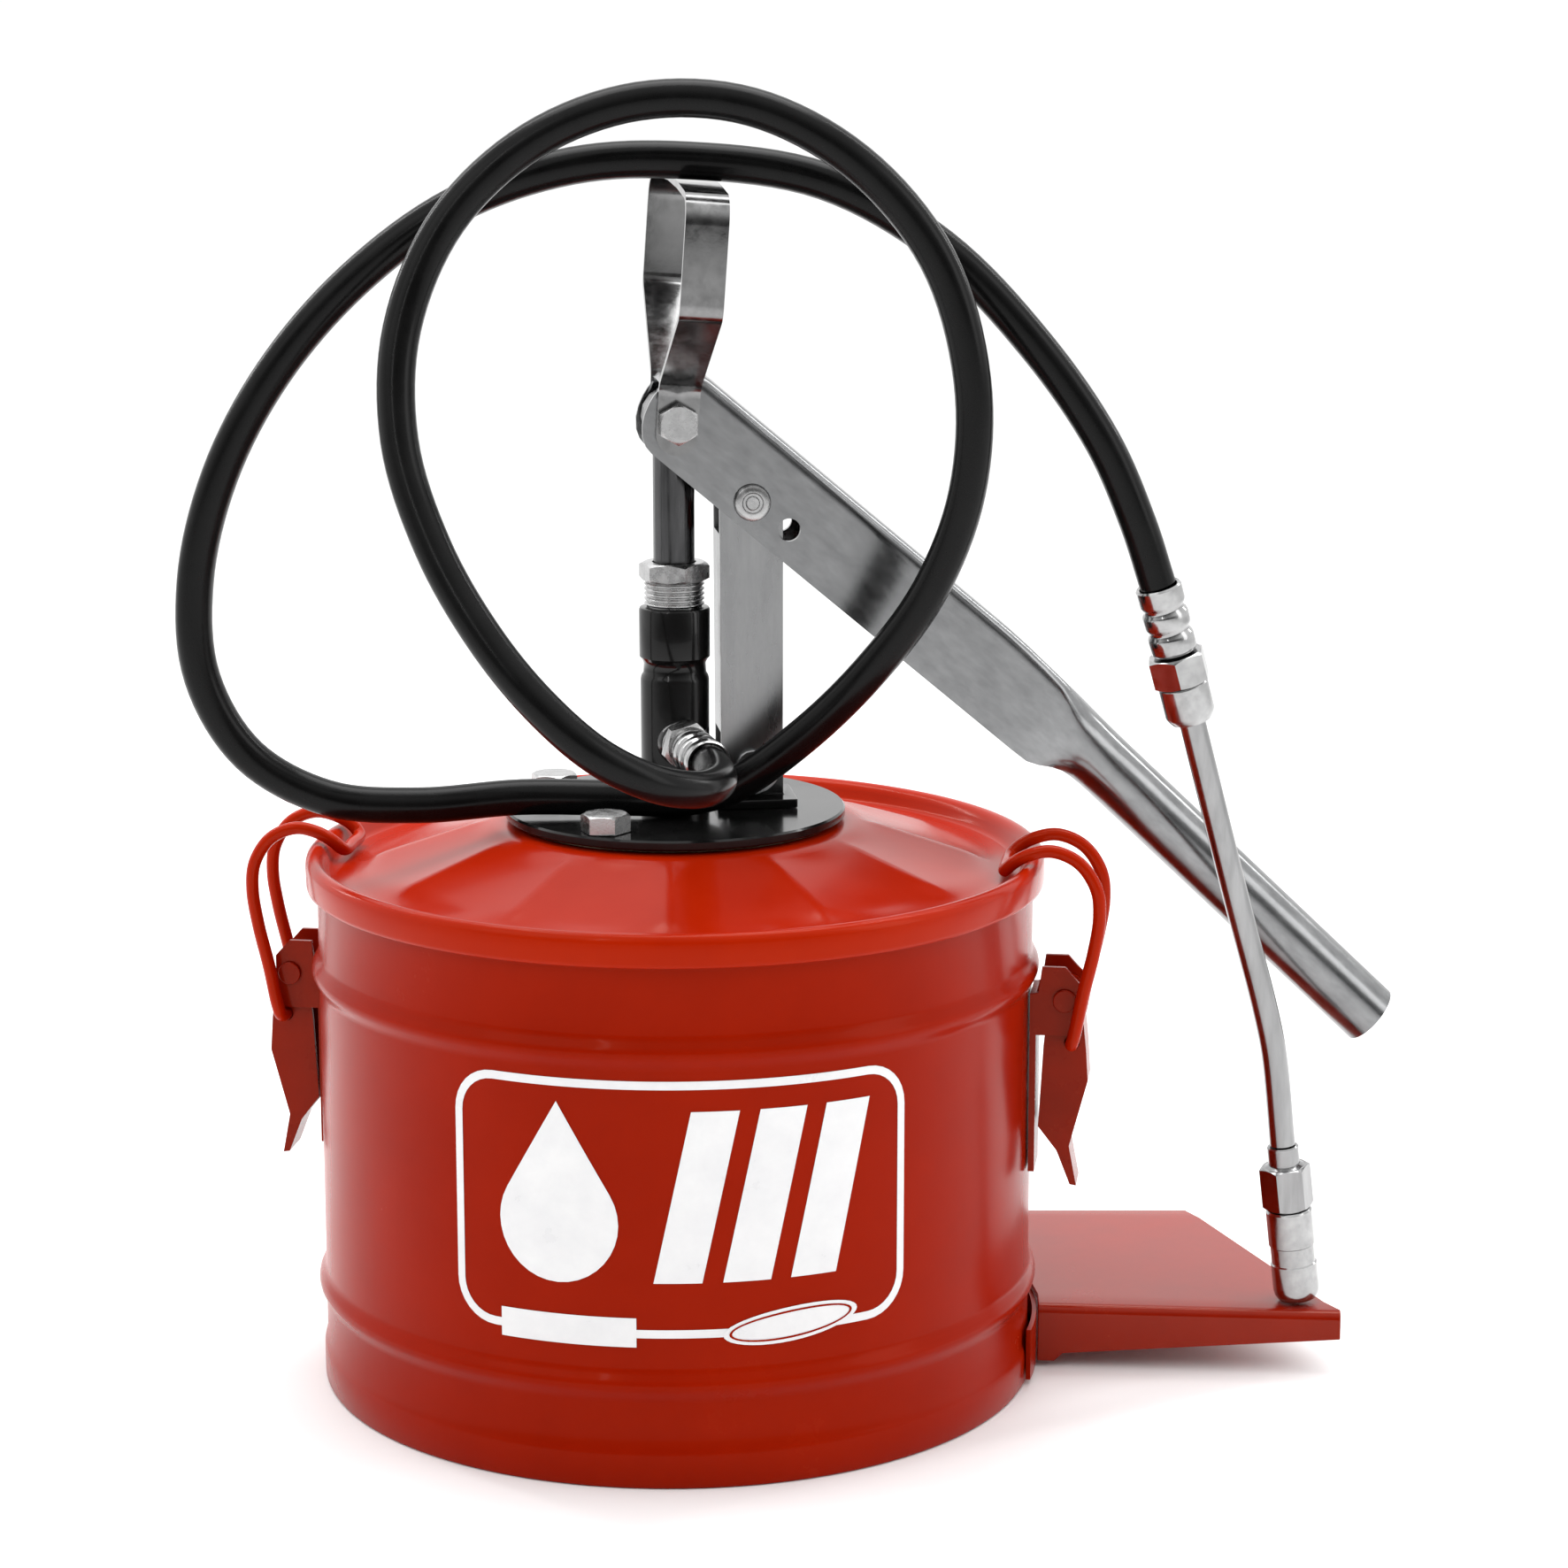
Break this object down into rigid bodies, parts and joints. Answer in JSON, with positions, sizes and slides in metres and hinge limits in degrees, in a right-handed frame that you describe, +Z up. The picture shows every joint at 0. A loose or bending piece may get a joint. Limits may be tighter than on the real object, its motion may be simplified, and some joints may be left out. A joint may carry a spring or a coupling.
{
  "type": "hand-lever bucket grease pump",
  "caption": "Red steel grease bucket with a clamped lid, a hand-lever plunger pump, a looped delivery hose with a rigid tube and grease coupler, and a foot plate.",
  "frame": {"origin": "on the floor under the bucket's axis", "axes": "+Z up along the bucket and pump axis; the lever and the foot plate point to +X; -Y is the side where the hose leaves the pump"},
  "size_m": [0.3733, 0.2268, 0.3994],
  "materials": {
    "bucket_red": "gloss paint",
    "lid_red": "gloss paint, brighter than the bucket",
    "black_paint": "gloss paint",
    "zinc_plate": "zinc plated, satin",
    "galvanised_sheet": "galvanised sheet, satin, fine scratches",
    "bright_steel": "bright plated",
    "dark_steel": "dark oiled steel",
    "rubber_seal": "matte",
    "hose_rubber": "satin black",
    "fibre_seal": "pressed fibre"
  },
  "bodies": {
    "bucket_and_pump": {"bucket_body": "bucket_red", "bucket_bottom": "bucket_red", "lid": "lid_red", "lid_gasket": "rubber_seal", "foot_plate": "bucket_red", "foot_bracket": "bucket_red", "flange_plate": "black_paint", "plate_gasket": "fibre_seal", "flange_bolt_1": "zinc_plate", "flange_nut_1": "zinc_plate", "flange_bolt_2": "zinc_plate", "flange_nut_2": "zinc_plate", "flange_bolt_3": "zinc_plate", "flange_nut_3": "zinc_plate", "latch_bracket_right": "lid_red", "latch_pin_right": "lid_red", "latch_bracket_left": "lid_red", "latch_pin_left": "lid_red", "pump_body": "black_paint", "pump_cylinder": "dark_steel", "gland_nut": "zinc_plate", "gland_packing": "fibre_seal", "foot_valve": "dark_steel", "outlet_adapter": "zinc_plate", "link_lug": "black_paint", "hose": "hose_rubber", "hose_ferrule_pump": "bright_steel", "hose_ferrule_far": "bright_steel", "swivel_nut": "bright_steel", "swivel_sleeve": "bright_steel", "extension_tube": "bright_steel", "coupler_body": "bright_steel", "coupler_nose": "bright_steel"},
    "plunger": {"piston_rod": "dark_steel", "piston": "dark_steel", "piston_cup": "rubber_seal", "piston_nut": "zinc_plate", "pivot_bolt": "zinc_plate", "pivot_nut": "zinc_plate", "pivot_bush_front": "dark_steel", "pivot_bush_rear": "dark_steel"},
    "hand_lever": {"lever": "galvanised_sheet", "fulcrum_rivet": "galvanised_sheet"},
    "link": {"support_link": "galvanised_sheet", "link_pin": "galvanised_sheet"},
    "carrying_handle": {"carry_handle": "bright_steel"},
    "latch_right": {"latch_lever_right": "lid_red"},
    "bail_right": {"latch_bail_right": "lid_red"},
    "latch_left": {"latch_lever_left": "lid_red"},
    "bail_left": {"latch_bail_left": "lid_red"},
    "intake_ball": {"foot_valve_ball": "bright_steel"},
    "outlet_ball": {"outlet_valve_ball": "bright_steel"}
  },
  "joints": [
    {"name": "rod_slide", "type": "slide", "parent": "bucket_and_pump", "child": "plunger", "axis": [0, 0, -1], "range_m": [0, 0.0265]},
    {"name": "lever_hinge", "type": "hinge", "parent": "plunger", "child": "hand_lever", "pos_m": [0, 0, 0.2973], "axis": [0.1219, -0.9925, 0], "range_deg": [0, 50]},
    {"name": "link_hinge", "type": "hinge", "parent": "hand_lever", "child": "link", "pos_m": [0.02233, 0.00274, 0.2729], "axis": [0.1219, -0.9925, 0], "range_deg": [-58, 0]},
    {"name": "carry_hinge", "type": "hinge", "parent": "plunger", "child": "carrying_handle", "pos_m": [0, 0, 0.2973], "axis": [0.1219, -0.9925, 0], "range_deg": [-60, 60]},
    {"name": "latch_hinge_right", "type": "hinge", "parent": "bucket_and_pump", "child": "latch_right", "pos_m": [0.11982, -0.01684, 0.1226], "axis": [-0.1392, -0.9903, 0], "range_deg": [0, 150]},
    {"name": "bail_hinge_right", "type": "hinge", "parent": "latch_right", "child": "bail_right", "pos_m": [0.122, -0.01715, 0.1089], "axis": [-0.1392, -0.9903, 0], "range_deg": [-128, 0]},
    {"name": "latch_hinge_left", "type": "hinge", "parent": "bucket_and_pump", "child": "latch_left", "pos_m": [-0.11982, 0.01684, 0.1226], "axis": [0.1392, 0.9903, 0], "range_deg": [0, 150]},
    {"name": "bail_hinge_left", "type": "hinge", "parent": "latch_left", "child": "bail_left", "pos_m": [-0.122, 0.01715, 0.1089], "axis": [0.1392, 0.9903, 0], "range_deg": [-128, 0]},
    {"name": "intake_ball_lift", "type": "slide", "parent": "bucket_and_pump", "child": "intake_ball", "axis": [0, 0, 1], "range_m": [0, 0.003]},
    {"name": "outlet_ball_lift", "type": "slide", "parent": "bucket_and_pump", "child": "outlet_ball", "axis": [0.2588, -0.9659, 0], "range_m": [0, 0.0025]}
  ],
  "couplings": [
    {"joint": "rod_slide", "follows": "lever_hinge", "m_per_rad": 0.029904},
    {"joint": "link_hinge", "follows": "lever_hinge", "ratio": -1.1514},
    {"joint": "bail_hinge_right", "follows": "latch_hinge_right", "ratio": -0.85},
    {"joint": "bail_hinge_left", "follows": "latch_hinge_left", "ratio": -0.85}
  ]
}
